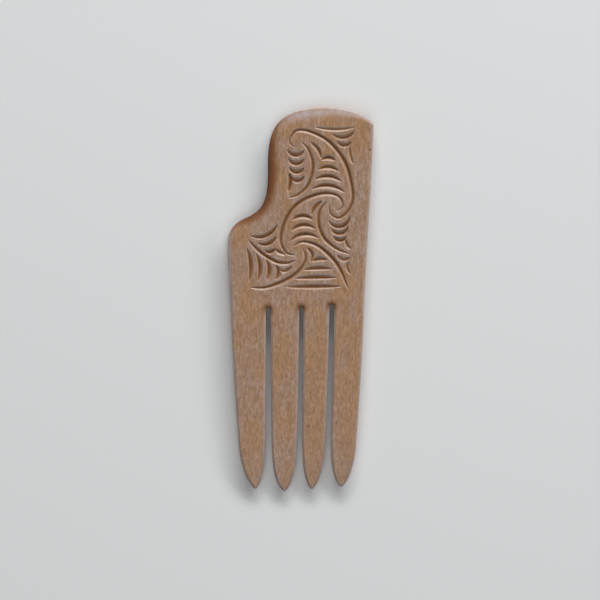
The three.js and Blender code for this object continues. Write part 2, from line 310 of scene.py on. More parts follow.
def back_z(y):
    """Height of the back, which lifts a little at the tips."""
    to_tip = np.clip((SHOULDER_Y - y) / POINT_LENGTH, 0, 1)
    return BACK_Z + BACK_AT_TIP * to_tip ** 2


def inward_steps(points):
    """For each outline point, the step that moves both its sides in by one."""
    side = np.roll(points, -1, axis=0) - points
    side /= np.hypot(*side.T)[:, None]
    normal = np.column_stack([-side[:, 1], side[:, 0]])
    middle = normal + np.roll(normal, 1, axis=0)
    middle /= np.hypot(*middle.T)[:, None]
    return middle / np.clip((middle * normal).sum(axis=1), 0.6, 1)[:, None]


def tip_distance(xy):
    """How far each point is from the nearest tooth tip."""
    return np.min([np.hypot(xy[:, 0] - tooth["tip_x"], xy[:, 1] - tooth_bottom(number))
                   for number, tooth in enumerate(TEETH)], axis=0)


def edge_rings(outline):
    """The rounded edge as rings of points and heights, from the back face to the front face."""
    xy = outline[:, :2]
    roll = np.minimum(outline[:, 2], TIP_ROLL + TIP_ROLL_GROWTH * tip_distance(xy))
    back_roll = np.minimum(BACK_ROLL, roll)
    corner = np.minimum(EDGE_CORNER, 0.8 * roll)
    slope = roll - corner
    inward = inward_steps(xy)
    rings = []
    # Round the back's edge to the foot of the side.
    for angle in np.radians((90, 65, 42, 20, 0)):
        at = xy + inward * (back_roll * (1 - math.cos(angle)))[:, None]
        rings.append((at, back_z(at[:, 1]) + back_roll * (1 - math.sin(angle))))
    # Up the side, where the pale rubbed colour and its painted sheen end.
    rings.append((xy, face_z(xy[:, 1]) - SLOPE_FALL * roll - corner - WORN_AND_SHEEN_REACH))
    # Round the front's outermost corner.
    for angle in np.radians((0, 22, 45, 68)):
        at = xy + inward * (corner * (1 - math.cos(angle)))[:, None]
        rings.append((at, face_z(at[:, 1]) - SLOPE_FALL * roll - corner * (1 - math.sin(angle))))
    # Over the long slope to the flat face.
    for share in (0, 0.25, 0.5, 0.75, 1):
        at = xy + inward * (corner + slope * share)[:, None]
        rings.append((at, face_z(at[:, 1]) - SLOPE_FALL * roll * (1 - share) ** 1.7))
    return rings


# ======================================================================================================
# The ornament
# V-shaped cuts made with a small gouge: long stems that curl at their ends, and between them leaves of
# crescents set one under the other. Every cut swells in its middle and runs out to a point at both ends.
# ======================================================================================================

# Long cuts, each a smooth line through a few points. "lean" puts the bottom of the V to one side of that
# line, from -1 to 1.
STEMS = [
    dict(part="upper stem", width=1.95, depth=0.75, lean=-0.12,
         through=[(-1.6, 47.4), (-3.5, 49.5), (-1.4, 52.7), (3, 52.4), (9, 49.1), (14, 42.4),
                  (16.15, 33.4), (15.3, 28.7), (12.2, 25.7), (9.5, 26.8), (8.8, 29.8)]),
    dict(part="middle stem", width=1.95, depth=0.75, lean=0.1,
         through=[(11.1, 27.6), (13.1, 29.4), (11.7, 32.3), (7.5, 33.2), (2.1, 31.75), (-2.2, 28.8),
                  (-5, 24.2), (-6.2, 18.6), (-4.5, 14.8), (-1.4, 13.9)]),
    dict(part="lower stem", width=1.95, depth=0.75, lean=-0.12,
         through=[(-2.5, 16.6), (0.6, 18.1), (4.9, 17), (9, 13.8), (12.1, 9.8), (14.8, 3.5)]),
    dict(part="upper leaf rib", width=1.85, depth=0.7, lean=0.1,
         through=[(0.1, 49.3), (2.4, 47), (3.9, 41.8), (2.4, 36), (-0.8, 32.8), (-3.8, 31.8)]),
    dict(part="right leaf rib", width=1.85, depth=0.7, lean=0.05,
         through=[(8.2, 30.8), (6, 27.8), (5.65, 23.5), (7.4, 19.2), (11.2, 16), (15.4, 14.3)]),
    dict(part="left leaf rib", width=1.85, depth=0.7, lean=0,
         through=[(-16.3, 18.6), (-12.5, 14.8), (-7.7, 11.9), (-4.2, 11.5), (-1.4, 12.5)]),
    dict(part="foot stem", width=1.95, depth=0.7, lean=-0.1,
         through=[(-15.8, 3.9), (-10.9, 3.8), (-4.5, 6.2), (-0.3, 9.3), (1.6, 13), (0.6, 16.2)]),
    dict(part="over the top corner", width=1.7, depth=0.5, lean=0.1,
         through=[(4.4, 53.9), (7.5, 53.4), (10.8, 53.2), (14, 53.4), (17, 54)]),
    dict(part="below the top corner", width=1.7, depth=0.5, lean=0,
         through=[(15.3, 47.7), (15.5, 45), (16.4, 42.4)]),
    dict(part="beside the upper curl", width=2.0, depth=0.65, lean=0,
         through=[(3.1, 49.3), (5.5, 46.8), (6.5, 44)]),
    dict(part="below the upper curl", width=2.3, depth=0.8, lean=0,
         through=[(-3.6, 39.6), (-3.2, 37), (-3.9, 33.7)]),
    dict(part="beside the middle curl", width=2.0, depth=0.65, lean=0,
         through=[(6.7, 31), (4.4, 28.8), (3.3, 26.4)]),
    dict(part="below the middle curl", width=1.8, depth=0.55, lean=0,
         through=[(14.1, 18.8), (14.5, 17), (15.7, 15.8)]),
    dict(part="left leaf, inner end", width=1.8, depth=0.6, lean=0,
         through=[(-8, 16.05), (-6.8, 14.9), (-4.5, 14.1)]),
    dict(part="left leaf, under the rib", width=2.0, depth=0.6, lean=0.3,
         through=[(-7, 9.6), (-5, 9.2), (-2.6, 10.5)]),
    dict(part="right leaf, under the rib", width=2.0, depth=0.6, lean=0.3,
         through=[(11.3, 14.1), (13.3, 12.7), (15.5, 13.3)]),
    dict(part="right leaf, foot", width=1.6, depth=0.5, lean=0,
         through=[(15.1, 12), (14.5, 10), (15.5, 7.9)]),
    dict(part="beside the lower curl", width=2.0, depth=0.65, lean=0,
         through=[(2.1, 16.4), (3.6, 14.1), (3.1, 11.6)]),
]

# Rows of crescents, spread evenly from the first to the last. Each is an arc: its two ends, and its middle
# between them.
CRESCENT_ROWS = [
    dict(part="top corner", count=2, width=2.4, depth=0.75, lean=0.45,
         first=[(9.8, 52.1), (13, 51), (16.8, 53)], last=[(11.5, 49.8), (13.8, 48.6), (15.7, 49.7)]),
    dict(part="under the upper curl", count=4, width=2.7, depth=0.8, lean=0.45,
         first=[(-4.1, 47.1), (-1.3, 45.6), (1, 46.9)], last=[(-3.1, 38.8), (-0.9, 37.6), (0.9, 38.8)]),
    dict(part="upper leaf", count=4, width=2.4, depth=0.8, lean=0,
         first=[(6.4, 43.5), (8.5, 44.4), (10.9, 43.3)], last=[(3.2, 34.3), (8.6, 35.7), (13.85, 33.4)]),
    dict(part="under the middle curl", count=3, width=2.6, depth=0.8, lean=0.45,
         first=[(8.8, 25.1), (11.8, 23.2), (15.1, 26.5)], last=[(10.3, 20.2), (12.3, 19), (14.2, 20)]),
    dict(part="middle leaf", count=3, width=2.5, depth=0.8, lean=0,
         first=[(-2.7, 24.8), (0.5, 26.2), (3.8, 24.9)], last=[(-3.5, 18.1), (1, 20.5), (5.7, 19.1)]),
    dict(part="left leaf, upper side", count=3, width=2.4, depth=0.8, lean=0.45,
         first=[(-15.8, 20.2), (-10.9, 20.4), (-7.4, 23.8)],
         last=[(-11.2, 15.6), (-9.7, 15.3), (-8.1, 16.2)]),
    dict(part="left leaf, lower side", count=4, width=2.5, depth=0.75, lean=0.4,
         first=[(-16.8, 16.4), (-15.35, 11.4), (-16.1, 5.5)], last=[(-8, 11), (-6.6, 8.6), (-8.1, 6.2)]),
    dict(part="foot leaf", count=4, width=2.5, depth=0.75, lean=0.3,
         first=[(3.3, 12), (5.5, 13), (8.5, 12.4)], last=[(-4.8, 4.1), (4.2, 4.4), (13.1, 4.3)]),
]

CUT_STEPS = 33  # points along a crescent
STEM_STEP = 0.3 * MM  # between points along a stem
VEE_POINTS = 17  # across a cut
NEXT_TROUGH = 1.0  # the least space between the end of one and the start of the next
STEM_FULLNESS = 0.33  # the lower, the sooner a cut is at its full width
STEM_HOLLOW = 1.2  # 1 for a V with straight walls, and more for walls that steepen towards the bottom
ROW_FULLNESS = 0.5
ROW_HOLLOW = 1.6
CUT_INPUTS = [("Width", "NodeSocketFloat", 2 * MM), ("Depth", "NodeSocketFloat", 0.5 * MM),
              ("Lean", "NodeSocketFloat", 0.0), ("Fullness", "NodeSocketFloat", STEM_FULLNESS),
              ("Hollow", "NodeSocketFloat", STEM_HOLLOW)]


def new_tree(name, inputs):
    """An empty geometry tree with named inputs, and its input and output nodes."""
    tree = bpy.data.node_groups.new(name, "GeometryNodeTree")
    for label, socket, value in inputs:
        made = tree.interface.new_socket(label, in_out="INPUT", socket_type=socket)
        if value is not None:
            made.default_value = value
    tree.interface.new_socket("Geometry", in_out="OUTPUT", socket_type="NodeSocketGeometry")
    return tree, tree.nodes.new("NodeGroupInput"), tree.nodes.new("NodeGroupOutput")


def add_node(tree, kind, inputs=None, **settings):
    """A node with its settings, and with its inputs set to values or linked to other nodes' outputs."""
    node = tree.nodes.new(kind)
    for label, value in settings.items():
        setattr(node, label, value)
    for label, value in (inputs or {}).items():
        if isinstance(value, bpy.types.NodeSocket):
            tree.links.new(value, node.inputs[label])
        else:
            node.inputs[label].default_value = value
    return node


def calc(tree, operation, *values):
    """The output of a maths node."""
    return add_node(tree, "ShaderNodeMath", dict(enumerate(values)), operation=operation).outputs[0]


def build_gouge():
    """Sweeps the V of a gouge along a line: as wide as Width in the middle, and running out at the ends."""
    tree, given, result = new_tree("gouge", [("Line", "NodeSocketGeometry", None), *CUT_INPUTS])
    along = add_node(tree, "GeometryNodeSplineParameter").outputs["Factor"]
    arch = calc(tree, "SINE", calc(tree, "MULTIPLY", along, math.pi))
    swell = calc(tree, "POWER", arch, given.outputs["Fullness"])
    half_width = calc(tree, "MULTIPLY", given.outputs["Width"], 0.5)
    upright = add_node(tree, "GeometryNodeSetCurveNormal", {"Curve": given.outputs["Line"]}, mode="Z_UP")

    across = add_node(tree, "GeometryNodeMeshLine", {
        "Count": VEE_POINTS, "Start Location": (-1, 0, 0), "Offset": (1, 0, 0)}, mode="END_POINTS")
    position = add_node(tree, "GeometryNodeInputPosition").outputs[0]
    place = add_node(tree, "ShaderNodeSeparateXYZ", {0: position})
    from_bottom = calc(tree, "ABSOLUTE", place.outputs["X"])
    from_rim = calc(tree, "SUBTRACT", 1, from_bottom)
    to_side = calc(tree, "MULTIPLY", given.outputs["Lean"], from_rim)
    steepness = calc(tree, "DIVIDE", given.outputs["Depth"], half_width)
    fall = calc(tree, "MULTIPLY", steepness, calc(tree, "POWER", from_rim, given.outputs["Hollow"]))
    marked = add_node(tree, "GeometryNodeStoreNamedAttribute", {
        "Geometry": across.outputs[0], "Name": "bottom",
        "Value": calc(tree, "LESS_THAN", from_bottom, 0.01)}, data_type="FLOAT", domain="POINT")
    vee = add_node(tree, "GeometryNodeSetPosition", {
        "Geometry": marked.outputs[0],
        "Position": add_node(tree, "ShaderNodeCombineXYZ", {
            "X": calc(tree, "ADD", place.outputs["X"], to_side),
            "Y": fall}).outputs[0]})
    profile = add_node(tree, "GeometryNodeMeshToCurve", {"Mesh": vee.outputs[0]})
    sweep = add_node(tree, "GeometryNodeCurveToMesh", {
        "Curve": upright.outputs[0], "Profile Curve": profile.outputs[0],
        "Scale": calc(tree, "MULTIPLY", half_width, swell)})
    tree.links.new(sweep.outputs[0], result.inputs[0])
    return tree


gouge = build_gouge()


def cut_with_gouge(tree, line, given, result):
    """Ends a tree by running the gouge along its line, with the tree's own inputs for the cut."""
    cut = add_node(tree, "GeometryNodeGroup", node_tree=gouge)
    tree.links.new(line, cut.inputs["Line"])
    for label, _, _ in CUT_INPUTS:
        tree.links.new(given.outputs[label], cut.inputs[label])
    tree.links.new(cut.outputs[0], result.inputs[0])


def build_stem():
    """A cut along a smooth line through the points of a curve."""
    tree, given, result = new_tree("stem", [("Geometry", "NodeSocketGeometry", None), *CUT_INPUTS])
    smooth = add_node(tree, "GeometryNodeCurveSplineType", {0: given.outputs["Geometry"]},
                      spline_type="CATMULL_ROM")
    steps = add_node(tree, "GeometryNodeResampleCurve", {"Curve": smooth.outputs[0], "Length": STEM_STEP},
                     mode="LENGTH")
    cut_with_gouge(tree, steps.outputs[0], given, result)
    return tree


def build_crescent_row():
    """A row of arcs, spread evenly from a first to a last one, each cut with the gouge."""
    ends = [(f"{which} {where}", "NodeSocketVector", None)
            for which in ("First", "Last") for where in ("left", "middle", "right")]
    tree, given, result = new_tree("crescent_row", [
        ("Geometry", "NodeSocketGeometry", None), *ends, ("Count", "NodeSocketInt", 3), *CUT_INPUTS])

    count = given.outputs["Count"]
    line = add_node(tree, "GeometryNodeMeshLine", {"Count": CUT_STEPS})
    starts = add_node(tree, "GeometryNodeMeshLine", {"Count": count})
    copies = add_node(tree, "GeometryNodeInstanceOnPoints", {
        "Points": starts.outputs[0], "Instance": line.outputs[0]})
    all_lines = add_node(tree, "GeometryNodeRealizeInstances", {0: copies.outputs[0]})
    index = add_node(tree, "GeometryNodeInputIndex").outputs[0]
    row = calc(tree, "FLOOR", calc(tree, "DIVIDE", calc(tree, "ADD", index, 0.5), CUT_STEPS))
    step = calc(tree, "SUBTRACT", index, calc(tree, "MULTIPLY", row, CUT_STEPS))
    down_the_row = calc(tree, "DIVIDE", row, calc(tree, "SUBTRACT", count, 1))

    position = add_node(tree, "GeometryNodeInputPosition").outputs[0]
    places = []
    for which in ("First", "Last"):
        arc = add_node(tree, "GeometryNodeCurveArc", {
            "Resolution": 64, "Start": given.outputs[f"{which} left"],
            "Middle": given.outputs[f"{which} middle"],
            "End": given.outputs[f"{which} right"]}, mode="POINTS")
        steps = add_node(tree, "GeometryNodeResampleCurve", {"Curve": arc.outputs[0], "Count": CUT_STEPS})
        sample = add_node(tree, "GeometryNodeSampleIndex", {
            "Geometry": steps.outputs[0], "Value": position, "Index": step}, data_type="FLOAT_VECTOR")
        places.append(sample.outputs[0])
    between = add_node(tree, "ShaderNodeMix", data_type="VECTOR")
    tree.links.new(down_the_row, between.inputs[0])
    tree.links.new(places[0], between.inputs[4])
    tree.links.new(places[1], between.inputs[5])
    spread = add_node(tree, "GeometryNodeSetPosition", {
        "Geometry": all_lines.outputs[0], "Position": between.outputs[1]})
    lines = add_node(tree, "GeometryNodeMeshToCurve", {"Mesh": spread.outputs[0]})
    cut_with_gouge(tree, lines.outputs[0], given, result)
    return tree


def grow(shape, tree, values):
    """A plain mesh made by running a geometry tree on a curve or a mesh, with its named inputs set."""
    carrier = bpy.data.objects.new(tree.name, shape)
    bpy.context.collection.objects.link(carrier)
    growth = carrier.modifiers.new(tree.name, "NODES")
    growth.node_group = tree
    for socket in tree.interface.items_tree:
        if socket.in_out == "INPUT" and socket.name in values:
            growth[socket.identifier] = values[socket.name]
    settled = bpy.context.evaluated_depsgraph_get()
    made = bpy.data.meshes.new_from_object(carrier.evaluated_get(settled), depsgraph=settled)
    bpy.data.objects.remove(carrier)
    return made


def on_face(point):
    """A point of the ornament, in metres, on the front face."""
    return (point[0] * MM, point[1] * MM, FACE_Z * MM)


def line_through(points):
    """A curve with one straight-sided spline through points on the front face."""
    curve = bpy.data.curves.new("line", "CURVE")
    curve.dimensions = "3D"
    spline = curve.splines.new("POLY")
    spline.points.add(len(points) - 1)
    for place, point in zip(spline.points, points):
        place.co = (*on_face(point), 1)
    return curve


def all_cuts():
    """The mesh of every cut of the ornament: a set of open troughs that hang from the front face."""
    stem = build_stem()
    crescent_row = build_crescent_row()
    cuts = []
    for cut in STEMS:
        cuts.append(grow(line_through(cut["through"]), stem, {
            "Width": cut["width"] * MM, "Depth": cut["depth"] * MM, "Lean": cut["lean"],
            "Fullness": STEM_FULLNESS, "Hollow": STEM_HOLLOW}))
    for row in CRESCENT_ROWS:
        ends = {f"{which} {where}": on_face(point) for which in ("First", "Last")
                for where, point in zip(("left", "middle", "right"), row[which.lower()])}
        cuts.append(grow(bpy.data.meshes.new("row"), crescent_row, {
            **ends, "Count": row["count"], "Width": row["width"] * MM, "Depth": row["depth"] * MM,
            "Lean": row["lean"], "Fullness": ROW_FULLNESS, "Hollow": ROW_HOLLOW}))
    return cuts


def bottom_lines(cut):
    """The lines along the bottoms of a cut's troughs, as arrays of points in millimetres. Where two points
    that follow each other lie far apart, the next trough starts."""
    places = np.zeros(len(cut.vertices) * 3)
    cut.vertices.foreach_get("co", places)
    marked = np.zeros(len(cut.vertices))
    cut.attributes["bottom"].data.foreach_get("value", marked)
    bottom = places.reshape(-1, 3)[marked > 0.5, :2] / MM
    far_apart = np.hypot(*np.diff(bottom, axis=0).T) > NEXT_TROUGH
    return np.split(bottom, np.flatnonzero(far_apart) + 1)


# ======================================================================================================
# Marks of use
# Small pits and knocks along the teeth, the right edge and the neck, the bone's own open pores, and a patch
# of fine ripples that the file left near the end of the last tooth. Dirt has darkened them all.
# ======================================================================================================

PITS = [
    dict(at=(2.4, -21.9), width=1.0, length=0.7, depth=0.22),
    dict(at=(2.7, -35.5), width=0.7, length=1.1, depth=0.16),
    dict(at=(2.3, -39.4), width=0.9, length=0.9, depth=0.2),
    dict(at=(5.1, -38.6), width=0.4, length=0.9, depth=0.16),
    dict(at=(11.1, -38.3), width=0.5, length=0.8, depth=0.2),
    dict(at=(-3.7, -32.2), width=0.4, length=0.7, depth=0.16),
    dict(at=(-4.4, -23.8), width=0.4, length=1.0, depth=0.16),
    dict(at=(-14.4, -36.5), width=0.5, length=0.7, depth=0.16),
    dict(at=(21.6, 46.7), width=0.7, length=0.7, depth=0.3),
    dict(at=(-9.6, 47.9), width=0.6, length=0.8, depth=0.25),
    dict(at=(-10.4, 31.4), width=0.6, length=0.8, depth=0.25),
    dict(at=(-11.9, 28.6), width=0.7, length=0.6, depth=0.25),
]

PORE_COUNT = 150
PORE_AREA = ((-20, -56), (20, 0))  # the teeth
RIPPLES = dict(at=(12.7, -45.4), count=5, pitch=0.7, width=2.4, depth=0.07)
RIPPLE_SPACING = 0.15  # between the mesh's points on the ripples
RIPPLE_MARGIN = 0.2  # of those points round them


def all_pits():
    """The listed pits, and small open pores strewn over the teeth."""
    chance = np.random.default_rng(11)
    pores = [dict(at=chance.uniform(*PORE_AREA), width=0.3, length=chance.uniform(0.5, 1.1),
                  depth=chance.uniform(0.04, 0.12)) for _ in range(PORE_COUNT)]
    return PITS + pores


def spread_points(low, high, gap):
    """Points in a triangular pattern over a rectangle."""
    rows = np.arange(low[1], high[1], gap * math.sqrt(3) / 2)
    columns = np.arange(low[0], high[0], gap)
    return np.vstack([np.column_stack([columns + (k % 2) * gap / 2, np.full(len(columns), y)])
                      for k, y in enumerate(rows)])


def mark_points():
    """Points of the front face that are close enough together to hold the marks: rings of them round
    each pit's middle, and a fine pattern of them over the ripples."""
    points = []
    for pit in all_pits():
        for share, count in ((0, 1), (0.35, 6), (0.7, 8), (1.1, 8)):
            angle = np.arange(count) * 2 * math.pi / count
            points += zip(pit["at"][0] + share * pit["width"] * np.cos(angle),
                          pit["at"][1] + share * pit["length"] * np.sin(angle))
    middle = np.array(RIPPLES["at"])
    reach = np.array([RIPPLES["width"], RIPPLES["count"] * RIPPLES["pitch"]]) / 2 + RIPPLE_MARGIN
    points += map(tuple, spread_points(middle - reach, middle + reach, RIPPLE_SPACING))
    return points


def mark_depth(places):
    """How deep the marks are at each place: round pits, and slightly bent ripples that fade at the ends."""
    depth = np.zeros(len(places))
    for pit in all_pits():
        away = (((places[:, 0] - pit["at"][0]) / pit["width"]) ** 2
                + ((places[:, 1] - pit["at"][1]) / pit["length"]) ** 2)
        depth = np.maximum(depth, pit["depth"] * np.exp(-5 * away))
    sideways = (places[:, 0] - RIPPLES["at"][0]) / RIPPLES["width"]
    along = (places[:, 1] - RIPPLES["at"][1]) / RIPPLES["pitch"] + 0.35 * np.sin(7 * sideways)
    inside = np.exp(-8 * sideways ** 2 - (2 * along / RIPPLES["count"]) ** 4)
    return depth + RIPPLES["depth"] * inside * (0.5 + 0.5 * np.cos(2 * math.pi * along))


# ======================================================================================================
# The finished solid
# The blank's faces are filled with points that lie close together where there are cuts, with the bottoms of
# the cuts as edges. Then the cuts are pressed into the front face, and the whole comb is one closed piece.
# ======================================================================================================

CUT_REACH = 1.6  # how far round a cut's bottom the close points go
OPEN_START = CUT_REACH + 0.3  # how far from a cut's bottom the wide ones start
CLOSE = 0.2  # between close points
OPEN = 0.8  # between points elsewhere on the front
CLOSE_MARGIN = 1.5  # of the pattern of close points, beyond the outermost cuts
BACK_OPEN = 1.2  # between points on the back
TOO_CLOSE = 0.07  # to the bottom of a cut
FROM_BORDER = 0.15  # the least space between a point and the border
WAVE_WIDTH = 9  # of the unevenness of a rubbed face
WAVE_LENGTH = 16
WAVE_SLICE = 3.7  # which slice of the noise it is taken from
# Pale tooth tips: rubbed bone and a painted glint.
TIP_WEAR_AND_GLINT = 0.9
TIP_WEAR_AND_GLINT_REACH = 1.8
LOOK_DEPTH = 2 * MM  # how far below the face the cuts are looked for


def fill_face(border, inside, lines=()):
    """Triangulates the inside of a closed border through the given points and lines.
    Returns its points, of which the first are the border's, and its triangles."""
    points = [Vector(p) for p in border]
    edges = []
    for line in lines:
        first = len(points)
        points += [Vector(p) for p in line]
        edges += [(k, k + 1) for k in range(first, len(points) - 1)]
    points += [Vector(p) for p in inside]
    made, _, faces, came_from, _, _ = delaunay_2d_cdt(points, edges, [range(len(border))], 1, 1e-5)
    place = {old: new for new, olds in enumerate(came_from) for old in olds}
    order = [place[k] for k in range(len(border))]
    inner = {k for face in faces for k in face} - set(order)
    order += sorted(inner)
    rank = {old: new for new, old in enumerate(order)}
    return np.array([made[k][:] for k in order]), [[rank[k] for k in face] for face in faces]


def front_points(border, lines):
    """Points for the front face: close together round the cuts, and wide apart elsewhere."""
    bottoms = np.vstack(lines)
    tree = kdtree.KDTree(len(bottoms))
    for k, (x, y) in enumerate(bottoms):
        tree.insert((x, y, 0), k)
    tree.balance()
    low, high = border.min(axis=0), border.max(axis=0)
    carved_low = bottoms.min(axis=0) - CLOSE_MARGIN
    carved_high = bottoms.max(axis=0) + CLOSE_MARGIN
    close = [p for p in spread_points(carved_low, carved_high, CLOSE)
             if TOO_CLOSE < tree.find((*p, 0))[2] < CUT_REACH]
    wide = [p for p in spread_points(low, high, OPEN) if tree.find((*p, 0))[2] > OPEN_START]
    return clear_of(border, close + wide + mark_points())


def clear_of(border, points):
    """The points that aren't right beside the border."""
    tree = kdtree.KDTree(len(border))
    for k, (x, y) in enumerate(border):
        tree.insert((x, y, 0), k)
    tree.balance()
    return [p for p in points if tree.find((*p, 0))[2] > FROM_BORDER]


def hand_wave(x, y):
    """From 0 to 1: how far a spot has been rubbed below the flat."""
    return 0.5 + 0.5 * noise.noise((x / WAVE_WIDTH, y / WAVE_LENGTH, WAVE_SLICE))


def edge_values(places):
    """What the nearest edge does to each point: its distance in metres, the pale rubbed colour, partly a
    painted sheen, that it and a tooth's tip give (at a tip partly a painted glint), and its stain."""
    border = kdtree.KDTree(len(outline))
    for k, (x, y, _, _) in enumerate(outline):
        border.insert((x, y, 0), k)
    border.balance()
    found = [border.find((x, y, 0)) for x, y, _ in places]
    distance = np.array([far for _, _, far in found])
    _, _, roll, stain = outline[[nearest for _, nearest, _ in found]].T
    # Pale band along the edges: rubbed bone and a painted sheen.
    wear = np.clip(1 - distance / (0.3 + 0.75 * roll), 0, 1) * np.minimum(1, 0.6 + roll / 10)
    # Pale tips: rubbed bone and a painted glint.
    tip_wear_and_glint = TIP_WEAR_AND_GLINT * np.clip(1 - tip_distance(places[:, :2]) / TIP_WEAR_AND_GLINT_REACH, 0, 1)
    wear = np.maximum(wear, tip_wear_and_glint)
    return distance * MM, wear, stain


def ring_faces(ring_count, size):
    """The faces between rings of points that follow each other in the mesh."""
    faces = []
    for first in range(0, (ring_count - 1) * size, size):
        for k in range(size):
            after = (k + 1) % size
            faces.append((first + k, first + after, first + size + after, first + size + k))
    return faces


def comb_blank(lines):
    """The closed blank as a mesh in metres, with the attributes that its carving and its colour read."""
    rings = edge_rings(outline)
    size = len(outline)
    points = [np.column_stack([at, z]) for at, z in rings]
    faces = ring_faces(len(rings), size)

    front, front_faces = fill_face(rings[-1][0], front_points(rings[-1][0], lines), lines)
    back_border = rings[0][0]
    low, high = back_border.min(axis=0), back_border.max(axis=0)
    back, back_faces = fill_face(back_border, clear_of(back_border, spread_points(low, high, BACK_OPEN)))

    last_ring = (len(rings) - 1) * size
    first_front = len(rings) * size
    faces += [[last_ring + k if k < size else first_front + k - size for k in face] for face in front_faces]
    points.append(np.column_stack([front[size:], face_z(front[size:, 1])]))
    first_back = first_front + len(front) - size
    faces += [[k if k < size else first_back + k - size for k in reversed(face)] for face in back_faces]
    points.append(np.column_stack([back[size:], back_z(back[size:, 1])]))

    places = np.vstack(points)
    middle = (face_z(places[:, 1]) + back_z(places[:, 1])) / 2
    rise = (places[:, 2] - middle) / (face_z(places[:, 1]) - middle)  # 1 on the front, -1 on the back
    lift = np.clip(rise, 0, 1)
    wave = np.array([hand_wave(x, y) for x, y, _ in places])
    marks = mark_depth(places) * lift ** 2
    places[:, 2] -= HAND_WAVE * wave * lift ** 2 + marks

    blank = bpy.data.meshes.new("bone_comb")
    blank.from_pydata(places * MM, [], faces)
    face = np.zeros(len(places))
    face[first_front:first_back] = 1  # where the cuts may go
    from_edge, wear, stain = edge_values(places)
    wear *= np.clip((rise - 0.55) / 0.2, 0, 1)  # only the front's corner is rubbed pale, partly a painted sheen
    for label, values in (("face", face), ("from_edge", from_edge), ("wear", wear), ("stain", stain),
                          ("mark", marks * MM)):
        blank.attributes.new(label, "FLOAT", "POINT").data.foreach_set("value", values)
    return blank


def build_carve():
    """Lowers the front face to the bottoms of the cuts, and keeps how deep each spot is cut."""
    tree, given, result = new_tree("carve", [
        ("Geometry", "NodeSocketGeometry", None), ("Cuts", "NodeSocketObject", None),
        ("Reach", "NodeSocketFloat", LOOK_DEPTH), ("Material", "NodeSocketMaterial", None)])
    position = add_node(tree, "GeometryNodeInputPosition").outputs[0]
    reach = add_node(tree, "ShaderNodeCombineXYZ", {"Z": given.outputs["Reach"]}).outputs[0]
    below = add_node(tree, "ShaderNodeVectorMath", {0: position, 1: reach}, operation="SUBTRACT")
    cuts = add_node(tree, "GeometryNodeObjectInfo", {"Object": given.outputs["Cuts"]})
    look_up = add_node(tree, "GeometryNodeRaycast", {
        "Target Geometry": cuts.outputs["Geometry"], "Source Position": below.outputs[0],
        "Ray Direction": (0, 0, 1), "Ray Length": given.outputs["Reach"]})
    face = add_node(tree, "GeometryNodeInputNamedAttribute", {"Name": "face"}, data_type="FLOAT").outputs[0]
    cut_here = calc(tree, "MULTIPLY", look_up.outputs["Is Hit"], face)
    depth = calc(tree, "MULTIPLY", cut_here, calc(
        tree, "SUBTRACT", given.outputs["Reach"], look_up.outputs["Hit Distance"]))
    kept = add_node(tree, "GeometryNodeStoreNamedAttribute", {
        "Geometry": given.outputs["Geometry"], "Name": "cut", "Value": depth},
        data_type="FLOAT", domain="POINT")
    kept_depth = add_node(tree, "GeometryNodeInputNamedAttribute", {"Name": "cut"}, data_type="FLOAT")
    down = add_node(tree, "ShaderNodeCombineXYZ", {"Z": calc(tree, "MULTIPLY", kept_depth.outputs[0], -1)})
    lowered = add_node(tree, "GeometryNodeSetPosition", {
        "Geometry": kept.outputs[0], "Offset": down.outputs[0]})
    solid = add_node(tree, "GeometryNodeRealizeInstances", {0: lowered.outputs[0]})
    coated = add_node(tree, "GeometryNodeSetMaterial", {
        "Geometry": solid.outputs[0], "Material": given.outputs["Material"]})
    tree.links.new(coated.outputs[0], result.inputs[0])
    return tree


def joined(meshes):
    """One object that holds all the given meshes."""
    together = bmesh.new()
    for mesh in meshes:
        together.from_mesh(mesh)
    whole = bpy.data.meshes.new("cuts")
    together.to_mesh(whole)
    together.free()
    holder = bpy.data.objects.new("cuts", whole)
    bpy.context.collection.objects.link(holder)
    return holder


# ======================================================================================================
# Polished bone
# Warm tan limb bone with a fine lengthwise grain, cloudy colour and open pores, hand polished to a soft
# sheen. Old polish and dirt have stayed brown in the cuts, round the ends of the gaps and down the neck.
# The brown in the cuts and the near-black along the stained edges are partly painted shade, and the pale
# rubbed edges, tips and lips of the cuts are partly a painted sheen.
# ======================================================================================================

BONE_PALE = (0.485, 0.335, 0.268, 1)
BONE_WARM = (0.505, 0.285, 0.158, 1)
# Pale cool rubbed bone, partly a painted sheen and highlight, on the edges, tips and lips of the cuts.
BONE_WORN_AND_SHEEN = (0.44, 0.375, 0.37, 1)
GRAIN_BROWN = (0.29, 0.15, 0.065, 1)
# Browns of the cuts: old polish and dirt, and painted shade on the cuts' walls; the darker one also fills
# pores and marks.
PATINA_AND_SHADE_TAN = (0.37, 0.18, 0.075, 1)
PATINA_AND_SHADE_BROWN = (0.13, 0.043, 0.007, 1)
STAIN_BROWN = (0.195, 0.063, 0.009, 1)
# Near-black along the stained edges: stain and painted shade.
STAIN_AND_SHADE_DARK = (0.09, 0.02, 0.001, 1)
STAIN_REACH = 4.0 * MM  # in from the edge, where the stain is strongest
POLISH_ROUGHNESS = 0.3
BONE_SPECULAR = 0.48
RARE_PORE = 0.86  # the share of the cells that hold no pore


def blend_colours(tree, share, first, second):
    """The output of a node that mixes two colours."""
    mix = add_node(tree, "ShaderNodeMix", data_type="RGBA")
    for socket, value in ((mix.inputs[0], share), (mix.inputs[6], first), (mix.inputs[7], second)):
        if isinstance(value, bpy.types.NodeSocket):
            tree.links.new(value, socket)
        else:
            socket.default_value = value
    return mix.outputs[2]


